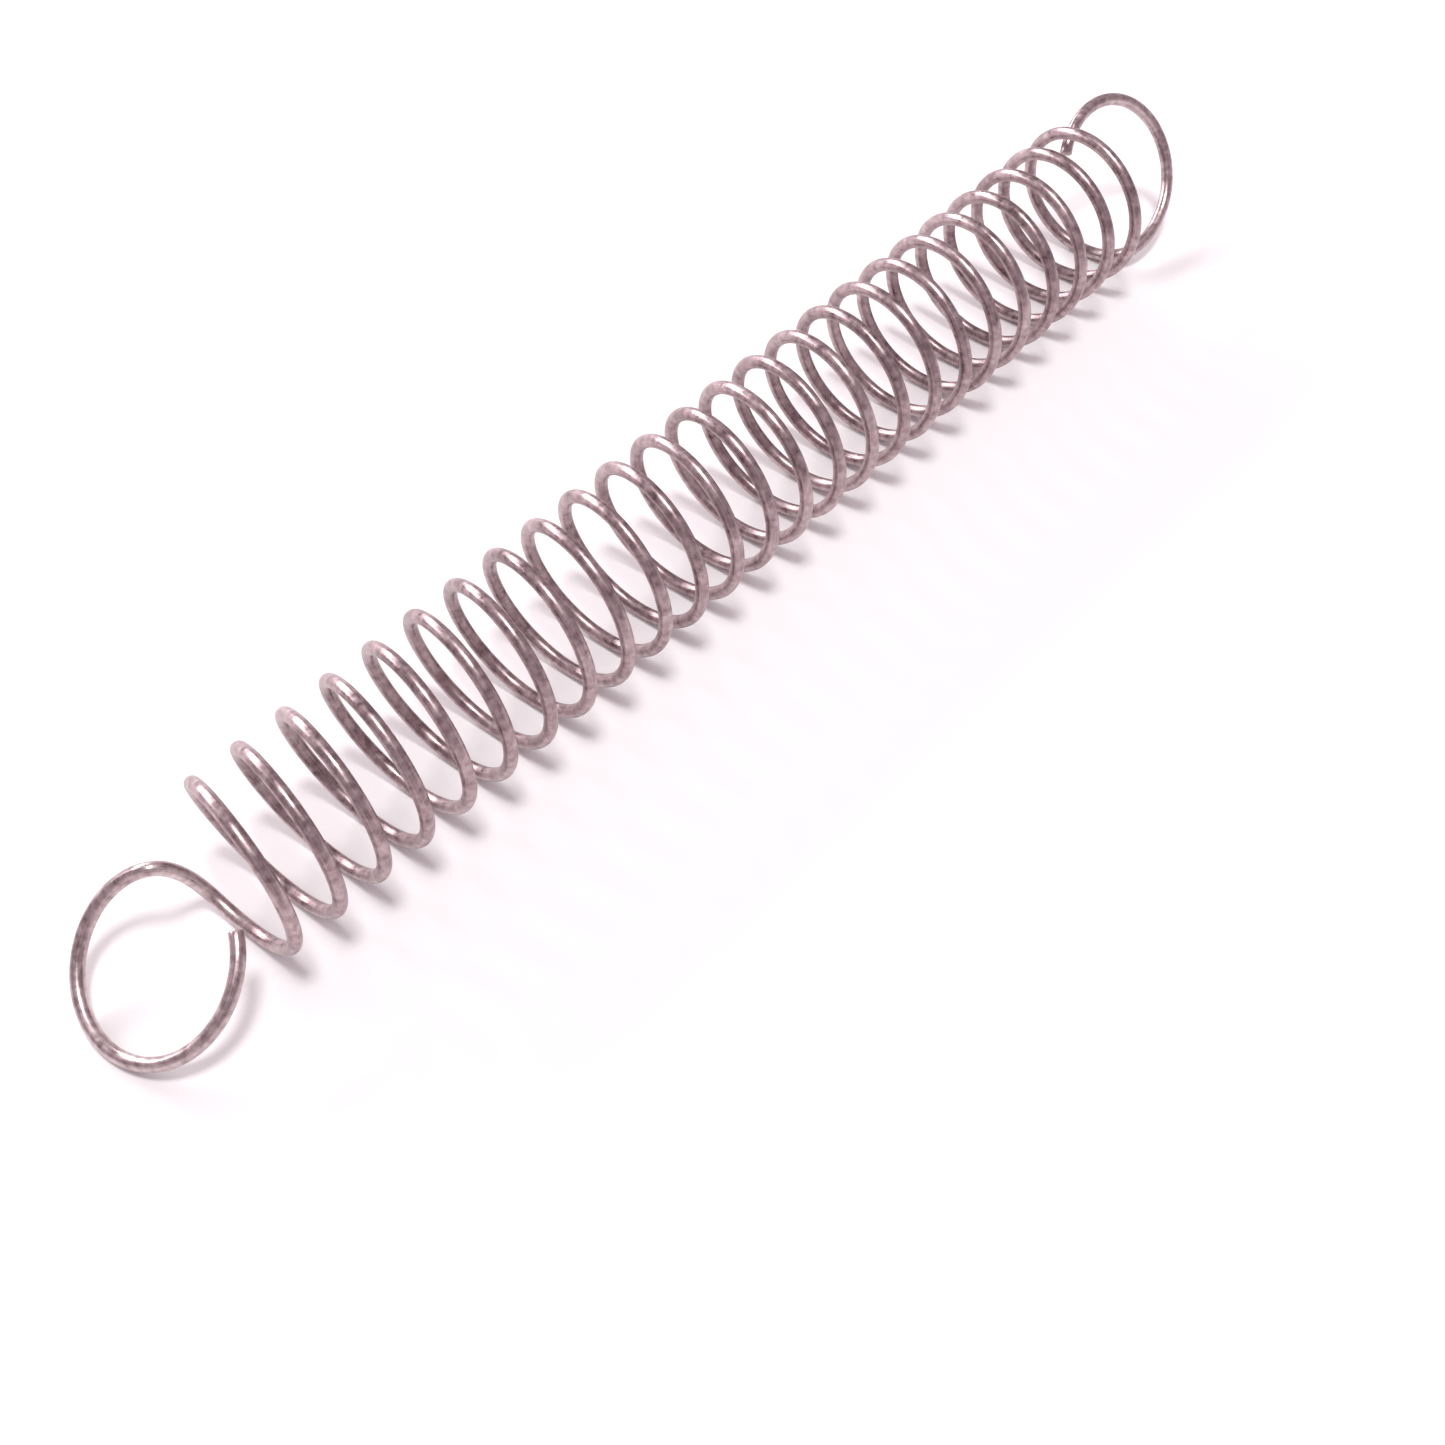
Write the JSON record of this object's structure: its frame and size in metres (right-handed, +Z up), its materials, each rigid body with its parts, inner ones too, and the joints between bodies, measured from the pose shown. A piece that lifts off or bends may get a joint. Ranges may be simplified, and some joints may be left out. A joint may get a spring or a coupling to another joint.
{
  "type": "extension coil spring",
  "caption": "Open-wound extension coil spring of round steel wire, left-hand wound, with a closed loop at one end and an open hook at the other, as used to return pedals and brake levers.",
  "frame": {"origin": "on the surface the spring lies on, under the middle of its overall length and of its coil's width", "axes": "+X along the coil's axis from the front loop to the rear hook, +Y across it, +Z up"},
  "size_m": [0.1919, 0.0224, 0.0222],
  "materials": {
    "coil_steel": "drawn spring wire, satin with darker patches",
    "loop_steel": "drawn spring wire, brighter where it was bent"
  },
  "bodies": {
    "front_loop": {"front_loop": "loop_steel"},
    "turn_01_rise": {"turn_01_rise": "coil_steel"},
    "turn_01_fall": {"turn_01_fall": "coil_steel"},
    "turn_02_rise": {"turn_02_rise": "coil_steel"},
    "turn_02_fall": {"turn_02_fall": "coil_steel"},
    "turn_03_rise": {"turn_03_rise": "coil_steel"},
    "turn_03_fall": {"turn_03_fall": "coil_steel"},
    "turn_04_rise": {"turn_04_rise": "coil_steel"},
    "turn_04_fall": {"turn_04_fall": "coil_steel"},
    "turn_05_rise": {"turn_05_rise": "coil_steel"},
    "turn_05_fall": {"turn_05_fall": "coil_steel"},
    "turn_06_rise": {"turn_06_rise": "coil_steel"},
    "turn_06_fall": {"turn_06_fall": "coil_steel"},
    "turn_07_rise": {"turn_07_rise": "coil_steel"},
    "turn_07_fall": {"turn_07_fall": "coil_steel"},
    "turn_08_rise": {"turn_08_rise": "coil_steel"},
    "turn_08_fall": {"turn_08_fall": "coil_steel"},
    "turn_09_rise": {"turn_09_rise": "coil_steel"},
    "turn_09_fall": {"turn_09_fall": "coil_steel"},
    "turn_10_rise": {"turn_10_rise": "coil_steel"},
    "turn_10_fall": {"turn_10_fall": "coil_steel"},
    "turn_11_rise": {"turn_11_rise": "coil_steel"},
    "turn_11_fall": {"turn_11_fall": "coil_steel"},
    "turn_12_rise": {"turn_12_rise": "coil_steel"},
    "turn_12_fall": {"turn_12_fall": "coil_steel"},
    "turn_13_rise": {"turn_13_rise": "coil_steel"},
    "turn_13_fall": {"turn_13_fall": "coil_steel"},
    "turn_14_rise": {"turn_14_rise": "coil_steel"},
    "turn_14_fall": {"turn_14_fall": "coil_steel"},
    "turn_15_rise": {"turn_15_rise": "coil_steel"},
    "turn_15_fall": {"turn_15_fall": "coil_steel"},
    "turn_16_rise": {"turn_16_rise": "coil_steel"},
    "turn_16_fall": {"turn_16_fall": "coil_steel"},
    "turn_17_rise": {"turn_17_rise": "coil_steel"},
    "turn_17_fall": {"turn_17_fall": "coil_steel"},
    "turn_18_rise": {"turn_18_rise": "coil_steel"},
    "turn_18_fall": {"turn_18_fall": "coil_steel"},
    "turn_19_rise": {"turn_19_rise": "coil_steel"},
    "turn_19_fall": {"turn_19_fall": "coil_steel"},
    "turn_20_rise": {"turn_20_rise": "coil_steel"},
    "turn_20_fall": {"turn_20_fall": "coil_steel"},
    "turn_21_rise": {"turn_21_rise": "coil_steel"},
    "turn_21_fall": {"turn_21_fall": "coil_steel"},
    "turn_22_rise": {"turn_22_rise": "coil_steel"},
    "turn_22_fall": {"turn_22_fall": "coil_steel"},
    "turn_23_rise": {"turn_23_rise": "coil_steel"},
    "turn_23_fall": {"turn_23_fall": "coil_steel"},
    "turn_24_rise": {"turn_24_rise": "coil_steel"},
    "turn_24_fall": {"turn_24_fall": "coil_steel"},
    "turn_25_rise": {"turn_25_rise": "coil_steel"},
    "turn_25_fall": {"turn_25_fall": "coil_steel"},
    "rear_hook": {"rear_hook": "loop_steel"}
  },
  "joints": [
    {"name": "stretch", "type": "hinge", "parent": "front_loop", "child": "turn_01_rise", "pos_m": [-0.0756, 0, 0.00085], "axis": [0, 1, 0], "range_deg": [-3, 8], "stiffness_Nm_per_rad": 2.01},
    {"name": "twist_01_top", "type": "hinge", "parent": "turn_01_rise", "child": "turn_01_fall", "pos_m": [-0.0725, 0, 0.02135], "axis": [0, 1, 0], "range_deg": [-16, 6], "stiffness_Nm_per_rad": 2.01},
    {"name": "twist_02_bottom", "type": "hinge", "parent": "turn_01_fall", "child": "turn_02_rise", "pos_m": [-0.0694, 0, 0.00085], "axis": [0, 1, 0], "range_deg": [-6, 16], "stiffness_Nm_per_rad": 2.01},
    {"name": "twist_02_top", "type": "hinge", "parent": "turn_02_rise", "child": "turn_02_fall", "pos_m": [-0.0663, 0, 0.02135], "axis": [0, 1, 0], "range_deg": [-16, 6], "stiffness_Nm_per_rad": 2.01},
    {"name": "twist_03_bottom", "type": "hinge", "parent": "turn_02_fall", "child": "turn_03_rise", "pos_m": [-0.0632, 0, 0.00085], "axis": [0, 1, 0], "range_deg": [-6, 16], "stiffness_Nm_per_rad": 2.01},
    {"name": "twist_03_top", "type": "hinge", "parent": "turn_03_rise", "child": "turn_03_fall", "pos_m": [-0.0601, 0, 0.02135], "axis": [0, 1, 0], "range_deg": [-16, 6], "stiffness_Nm_per_rad": 2.01},
    {"name": "twist_04_bottom", "type": "hinge", "parent": "turn_03_fall", "child": "turn_04_rise", "pos_m": [-0.057, 0, 0.00085], "axis": [0, 1, 0], "range_deg": [-6, 16], "stiffness_Nm_per_rad": 2.01},
    {"name": "twist_04_top", "type": "hinge", "parent": "turn_04_rise", "child": "turn_04_fall", "pos_m": [-0.0539, 0, 0.02135], "axis": [0, 1, 0], "range_deg": [-16, 6], "stiffness_Nm_per_rad": 2.01},
    {"name": "twist_05_bottom", "type": "hinge", "parent": "turn_04_fall", "child": "turn_05_rise", "pos_m": [-0.0508, 0, 0.00085], "axis": [0, 1, 0], "range_deg": [-6, 16], "stiffness_Nm_per_rad": 2.01},
    {"name": "twist_05_top", "type": "hinge", "parent": "turn_05_rise", "child": "turn_05_fall", "pos_m": [-0.0477, 0, 0.02135], "axis": [0, 1, 0], "range_deg": [-16, 6], "stiffness_Nm_per_rad": 2.01},
    {"name": "twist_06_bottom", "type": "hinge", "parent": "turn_05_fall", "child": "turn_06_rise", "pos_m": [-0.0446, 0, 0.00085], "axis": [0, 1, 0], "range_deg": [-6, 16], "stiffness_Nm_per_rad": 2.01},
    {"name": "twist_06_top", "type": "hinge", "parent": "turn_06_rise", "child": "turn_06_fall", "pos_m": [-0.0415, 0, 0.02135], "axis": [0, 1, 0], "range_deg": [-16, 6], "stiffness_Nm_per_rad": 2.01},
    {"name": "twist_07_bottom", "type": "hinge", "parent": "turn_06_fall", "child": "turn_07_rise", "pos_m": [-0.0384, 0, 0.00085], "axis": [0, 1, 0], "range_deg": [-6, 16], "stiffness_Nm_per_rad": 2.01},
    {"name": "twist_07_top", "type": "hinge", "parent": "turn_07_rise", "child": "turn_07_fall", "pos_m": [-0.0353, 0, 0.02135], "axis": [0, 1, 0], "range_deg": [-16, 6], "stiffness_Nm_per_rad": 2.01},
    {"name": "twist_08_bottom", "type": "hinge", "parent": "turn_07_fall", "child": "turn_08_rise", "pos_m": [-0.0322, 0, 0.00085], "axis": [0, 1, 0], "range_deg": [-6, 16], "stiffness_Nm_per_rad": 2.01},
    {"name": "twist_08_top", "type": "hinge", "parent": "turn_08_rise", "child": "turn_08_fall", "pos_m": [-0.0291, 0, 0.02135], "axis": [0, 1, 0], "range_deg": [-16, 6], "stiffness_Nm_per_rad": 2.01},
    {"name": "twist_09_bottom", "type": "hinge", "parent": "turn_08_fall", "child": "turn_09_rise", "pos_m": [-0.026, 0, 0.00085], "axis": [0, 1, 0], "range_deg": [-6, 16], "stiffness_Nm_per_rad": 2.01},
    {"name": "twist_09_top", "type": "hinge", "parent": "turn_09_rise", "child": "turn_09_fall", "pos_m": [-0.0229, 0, 0.02135], "axis": [0, 1, 0], "range_deg": [-16, 6], "stiffness_Nm_per_rad": 2.01},
    {"name": "twist_10_bottom", "type": "hinge", "parent": "turn_09_fall", "child": "turn_10_rise", "pos_m": [-0.0198, 0, 0.00085], "axis": [0, 1, 0], "range_deg": [-6, 16], "stiffness_Nm_per_rad": 2.01},
    {"name": "twist_10_top", "type": "hinge", "parent": "turn_10_rise", "child": "turn_10_fall", "pos_m": [-0.0167, 0, 0.02135], "axis": [0, 1, 0], "range_deg": [-16, 6], "stiffness_Nm_per_rad": 2.01},
    {"name": "twist_11_bottom", "type": "hinge", "parent": "turn_10_fall", "child": "turn_11_rise", "pos_m": [-0.0136, 0, 0.00085], "axis": [0, 1, 0], "range_deg": [-6, 16], "stiffness_Nm_per_rad": 2.01},
    {"name": "twist_11_top", "type": "hinge", "parent": "turn_11_rise", "child": "turn_11_fall", "pos_m": [-0.0105, 0, 0.02135], "axis": [0, 1, 0], "range_deg": [-16, 6], "stiffness_Nm_per_rad": 2.01},
    {"name": "twist_12_bottom", "type": "hinge", "parent": "turn_11_fall", "child": "turn_12_rise", "pos_m": [-0.0074, 0, 0.00085], "axis": [0, 1, 0], "range_deg": [-6, 16], "stiffness_Nm_per_rad": 2.01},
    {"name": "twist_12_top", "type": "hinge", "parent": "turn_12_rise", "child": "turn_12_fall", "pos_m": [-0.0043, 0, 0.02135], "axis": [0, 1, 0], "range_deg": [-16, 6], "stiffness_Nm_per_rad": 2.01},
    {"name": "twist_13_bottom", "type": "hinge", "parent": "turn_12_fall", "child": "turn_13_rise", "pos_m": [-0.0012, 0, 0.00085], "axis": [0, 1, 0], "range_deg": [-6, 16], "stiffness_Nm_per_rad": 2.01},
    {"name": "twist_13_top", "type": "hinge", "parent": "turn_13_rise", "child": "turn_13_fall", "pos_m": [0.0019, 0, 0.02135], "axis": [0, 1, 0], "range_deg": [-16, 6], "stiffness_Nm_per_rad": 2.01},
    {"name": "twist_14_bottom", "type": "hinge", "parent": "turn_13_fall", "child": "turn_14_rise", "pos_m": [0.005, 0, 0.00085], "axis": [0, 1, 0], "range_deg": [-6, 16], "stiffness_Nm_per_rad": 2.01},
    {"name": "twist_14_top", "type": "hinge", "parent": "turn_14_rise", "child": "turn_14_fall", "pos_m": [0.0081, 0, 0.02135], "axis": [0, 1, 0], "range_deg": [-16, 6], "stiffness_Nm_per_rad": 2.01},
    {"name": "twist_15_bottom", "type": "hinge", "parent": "turn_14_fall", "child": "turn_15_rise", "pos_m": [0.0112, 0, 0.00085], "axis": [0, 1, 0], "range_deg": [-6, 16], "stiffness_Nm_per_rad": 2.01},
    {"name": "twist_15_top", "type": "hinge", "parent": "turn_15_rise", "child": "turn_15_fall", "pos_m": [0.0143, 0, 0.02135], "axis": [0, 1, 0], "range_deg": [-16, 6], "stiffness_Nm_per_rad": 2.01},
    {"name": "twist_16_bottom", "type": "hinge", "parent": "turn_15_fall", "child": "turn_16_rise", "pos_m": [0.0174, 0, 0.00085], "axis": [0, 1, 0], "range_deg": [-6, 16], "stiffness_Nm_per_rad": 2.01},
    {"name": "twist_16_top", "type": "hinge", "parent": "turn_16_rise", "child": "turn_16_fall", "pos_m": [0.0205, 0, 0.02135], "axis": [0, 1, 0], "range_deg": [-16, 6], "stiffness_Nm_per_rad": 2.01},
    {"name": "twist_17_bottom", "type": "hinge", "parent": "turn_16_fall", "child": "turn_17_rise", "pos_m": [0.0236, 0, 0.00085], "axis": [0, 1, 0], "range_deg": [-6, 16], "stiffness_Nm_per_rad": 2.01},
    {"name": "twist_17_top", "type": "hinge", "parent": "turn_17_rise", "child": "turn_17_fall", "pos_m": [0.0267, 0, 0.02135], "axis": [0, 1, 0], "range_deg": [-16, 6], "stiffness_Nm_per_rad": 2.01},
    {"name": "twist_18_bottom", "type": "hinge", "parent": "turn_17_fall", "child": "turn_18_rise", "pos_m": [0.0298, 0, 0.00085], "axis": [0, 1, 0], "range_deg": [-6, 16], "stiffness_Nm_per_rad": 2.01},
    {"name": "twist_18_top", "type": "hinge", "parent": "turn_18_rise", "child": "turn_18_fall", "pos_m": [0.0329, 0, 0.02135], "axis": [0, 1, 0], "range_deg": [-16, 6], "stiffness_Nm_per_rad": 2.01},
    {"name": "twist_19_bottom", "type": "hinge", "parent": "turn_18_fall", "child": "turn_19_rise", "pos_m": [0.036, 0, 0.00085], "axis": [0, 1, 0], "range_deg": [-6, 16], "stiffness_Nm_per_rad": 2.01},
    {"name": "twist_19_top", "type": "hinge", "parent": "turn_19_rise", "child": "turn_19_fall", "pos_m": [0.0391, 0, 0.02135], "axis": [0, 1, 0], "range_deg": [-16, 6], "stiffness_Nm_per_rad": 2.01},
    {"name": "twist_20_bottom", "type": "hinge", "parent": "turn_19_fall", "child": "turn_20_rise", "pos_m": [0.0422, 0, 0.00085], "axis": [0, 1, 0], "range_deg": [-6, 16], "stiffness_Nm_per_rad": 2.01},
    {"name": "twist_20_top", "type": "hinge", "parent": "turn_20_rise", "child": "turn_20_fall", "pos_m": [0.0453, 0, 0.02135], "axis": [0, 1, 0], "range_deg": [-16, 6], "stiffness_Nm_per_rad": 2.01},
    {"name": "twist_21_bottom", "type": "hinge", "parent": "turn_20_fall", "child": "turn_21_rise", "pos_m": [0.0484, 0, 0.00085], "axis": [0, 1, 0], "range_deg": [-6, 16], "stiffness_Nm_per_rad": 2.01},
    {"name": "twist_21_top", "type": "hinge", "parent": "turn_21_rise", "child": "turn_21_fall", "pos_m": [0.0515, 0, 0.02135], "axis": [0, 1, 0], "range_deg": [-16, 6], "stiffness_Nm_per_rad": 2.01},
    {"name": "twist_22_bottom", "type": "hinge", "parent": "turn_21_fall", "child": "turn_22_rise", "pos_m": [0.0546, 0, 0.00085], "axis": [0, 1, 0], "range_deg": [-6, 16], "stiffness_Nm_per_rad": 2.01},
    {"name": "twist_22_top", "type": "hinge", "parent": "turn_22_rise", "child": "turn_22_fall", "pos_m": [0.0577, 0, 0.02135], "axis": [0, 1, 0], "range_deg": [-16, 6], "stiffness_Nm_per_rad": 2.01},
    {"name": "twist_23_bottom", "type": "hinge", "parent": "turn_22_fall", "child": "turn_23_rise", "pos_m": [0.0608, 0, 0.00085], "axis": [0, 1, 0], "range_deg": [-6, 16], "stiffness_Nm_per_rad": 2.01},
    {"name": "twist_23_top", "type": "hinge", "parent": "turn_23_rise", "child": "turn_23_fall", "pos_m": [0.0639, 0, 0.02135], "axis": [0, 1, 0], "range_deg": [-16, 6], "stiffness_Nm_per_rad": 2.01},
    {"name": "twist_24_bottom", "type": "hinge", "parent": "turn_23_fall", "child": "turn_24_rise", "pos_m": [0.067, 0, 0.00085], "axis": [0, 1, 0], "range_deg": [-6, 16], "stiffness_Nm_per_rad": 2.01},
    {"name": "twist_24_top", "type": "hinge", "parent": "turn_24_rise", "child": "turn_24_fall", "pos_m": [0.0701, 0, 0.02135], "axis": [0, 1, 0], "range_deg": [-16, 6], "stiffness_Nm_per_rad": 2.01},
    {"name": "twist_25_bottom", "type": "hinge", "parent": "turn_24_fall", "child": "turn_25_rise", "pos_m": [0.0732, 0, 0.00085], "axis": [0, 1, 0], "range_deg": [-6, 16], "stiffness_Nm_per_rad": 2.01},
    {"name": "twist_25_top", "type": "hinge", "parent": "turn_25_rise", "child": "turn_25_fall", "pos_m": [0.0763, 0, 0.02135], "axis": [0, 1, 0], "range_deg": [-16, 6], "stiffness_Nm_per_rad": 2.01},
    {"name": "twist_rear_hook", "type": "hinge", "parent": "turn_25_fall", "child": "rear_hook", "pos_m": [0.0794, 0, 0.00085], "axis": [0, 1, 0], "range_deg": [-3, 8], "stiffness_Nm_per_rad": 2.01}
  ],
  "couplings": [
    {"joint": "twist_01_top", "follows": "stretch", "ratio": -2},
    {"joint": "twist_02_bottom", "follows": "stretch", "ratio": 2},
    {"joint": "twist_02_top", "follows": "stretch", "ratio": -2},
    {"joint": "twist_03_bottom", "follows": "stretch", "ratio": 2},
    {"joint": "twist_03_top", "follows": "stretch", "ratio": -2},
    {"joint": "twist_04_bottom", "follows": "stretch", "ratio": 2},
    {"joint": "twist_04_top", "follows": "stretch", "ratio": -2},
    {"joint": "twist_05_bottom", "follows": "stretch", "ratio": 2},
    {"joint": "twist_05_top", "follows": "stretch", "ratio": -2},
    {"joint": "twist_06_bottom", "follows": "stretch", "ratio": 2},
    {"joint": "twist_06_top", "follows": "stretch", "ratio": -2},
    {"joint": "twist_07_bottom", "follows": "stretch", "ratio": 2},
    {"joint": "twist_07_top", "follows": "stretch", "ratio": -2},
    {"joint": "twist_08_bottom", "follows": "stretch", "ratio": 2},
    {"joint": "twist_08_top", "follows": "stretch", "ratio": -2},
    {"joint": "twist_09_bottom", "follows": "stretch", "ratio": 2},
    {"joint": "twist_09_top", "follows": "stretch", "ratio": -2},
    {"joint": "twist_10_bottom", "follows": "stretch", "ratio": 2},
    {"joint": "twist_10_top", "follows": "stretch", "ratio": -2},
    {"joint": "twist_11_bottom", "follows": "stretch", "ratio": 2},
    {"joint": "twist_11_top", "follows": "stretch", "ratio": -2},
    {"joint": "twist_12_bottom", "follows": "stretch", "ratio": 2},
    {"joint": "twist_12_top", "follows": "stretch", "ratio": -2},
    {"joint": "twist_13_bottom", "follows": "stretch", "ratio": 2},
    {"joint": "twist_13_top", "follows": "stretch", "ratio": -2},
    {"joint": "twist_14_bottom", "follows": "stretch", "ratio": 2},
    {"joint": "twist_14_top", "follows": "stretch", "ratio": -2},
    {"joint": "twist_15_bottom", "follows": "stretch", "ratio": 2},
    {"joint": "twist_15_top", "follows": "stretch", "ratio": -2},
    {"joint": "twist_16_bottom", "follows": "stretch", "ratio": 2},
    {"joint": "twist_16_top", "follows": "stretch", "ratio": -2},
    {"joint": "twist_17_bottom", "follows": "stretch", "ratio": 2},
    {"joint": "twist_17_top", "follows": "stretch", "ratio": -2},
    {"joint": "twist_18_bottom", "follows": "stretch", "ratio": 2},
    {"joint": "twist_18_top", "follows": "stretch", "ratio": -2},
    {"joint": "twist_19_bottom", "follows": "stretch", "ratio": 2},
    {"joint": "twist_19_top", "follows": "stretch", "ratio": -2},
    {"joint": "twist_20_bottom", "follows": "stretch", "ratio": 2},
    {"joint": "twist_20_top", "follows": "stretch", "ratio": -2},
    {"joint": "twist_21_bottom", "follows": "stretch", "ratio": 2},
    {"joint": "twist_21_top", "follows": "stretch", "ratio": -2},
    {"joint": "twist_22_bottom", "follows": "stretch", "ratio": 2},
    {"joint": "twist_22_top", "follows": "stretch", "ratio": -2},
    {"joint": "twist_23_bottom", "follows": "stretch", "ratio": 2},
    {"joint": "twist_23_top", "follows": "stretch", "ratio": -2},
    {"joint": "twist_24_bottom", "follows": "stretch", "ratio": 2},
    {"joint": "twist_24_top", "follows": "stretch", "ratio": -2},
    {"joint": "twist_25_bottom", "follows": "stretch", "ratio": 2},
    {"joint": "twist_25_top", "follows": "stretch", "ratio": -2},
    {"joint": "twist_rear_hook", "follows": "stretch", "ratio": 1}
  ]
}
